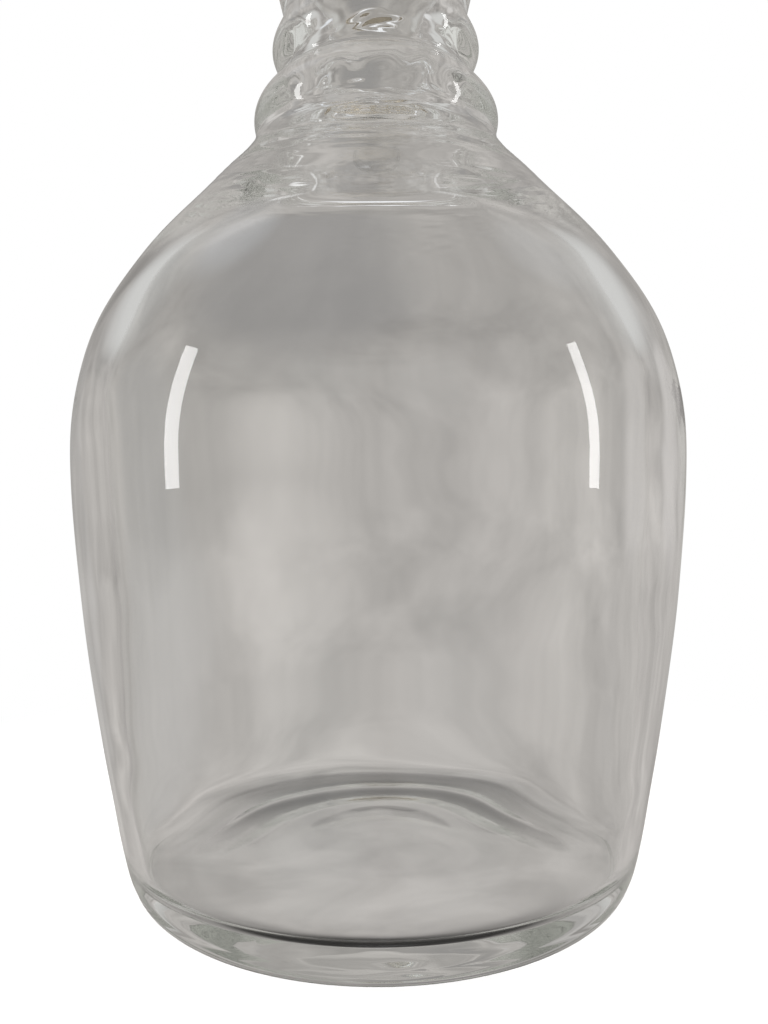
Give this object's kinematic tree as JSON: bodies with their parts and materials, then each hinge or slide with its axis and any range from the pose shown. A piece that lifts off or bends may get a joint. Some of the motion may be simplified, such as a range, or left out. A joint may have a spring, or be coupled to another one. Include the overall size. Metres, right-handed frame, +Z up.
{
  "type": "glass carboy",
  "caption": "Clear thick-walled glass carboy with a ringed neck, closed by a drilled rubber bung and a water-filled fermentation airlock.",
  "frame": {"origin": "centre of the plane that the vessel stands on", "axes": "+Z up along the axis of the vessel and its closure; X and Y are interchangeable, the vessel being turned about Z"},
  "size_m": [0.19, 0.19, 0.381],
  "materials": {
    "clear_glass": "clear, fire-polished, faint green in thick sections",
    "gum_rubber": "matte",
    "clear_plastic": "clear, moulded",
    "float_plastic": "semi-gloss, moulded",
    "cap_plastic": "semi-gloss, moulded"
  },
  "bodies": {
    "vessel": {"glass_vessel": "clear_glass"},
    "bung": {"rubber_bung": "gum_rubber"},
    "airlock": {"airlock_body": "clear_plastic"},
    "float": {"airlock_float": "float_plastic"},
    "cap": {"airlock_cap": "cap_plastic"}
  },
  "joints": [
    {"name": "bung_lift", "type": "slide", "parent": "vessel", "child": "bung", "axis": [0, 0, 1], "range_m": [0, 0.05]},
    {"name": "airlock_lift", "type": "slide", "parent": "bung", "child": "airlock", "axis": [0, 0, 1], "range_m": [0, 0.045]},
    {"name": "float_rise", "type": "slide", "parent": "airlock", "child": "float", "axis": [0, 0, 1], "range_m": [0, 0.007]},
    {"name": "cap_lift", "type": "slide", "parent": "airlock", "child": "cap", "axis": [0, 0, 1], "range_m": [0, 0.03]}
  ]
}
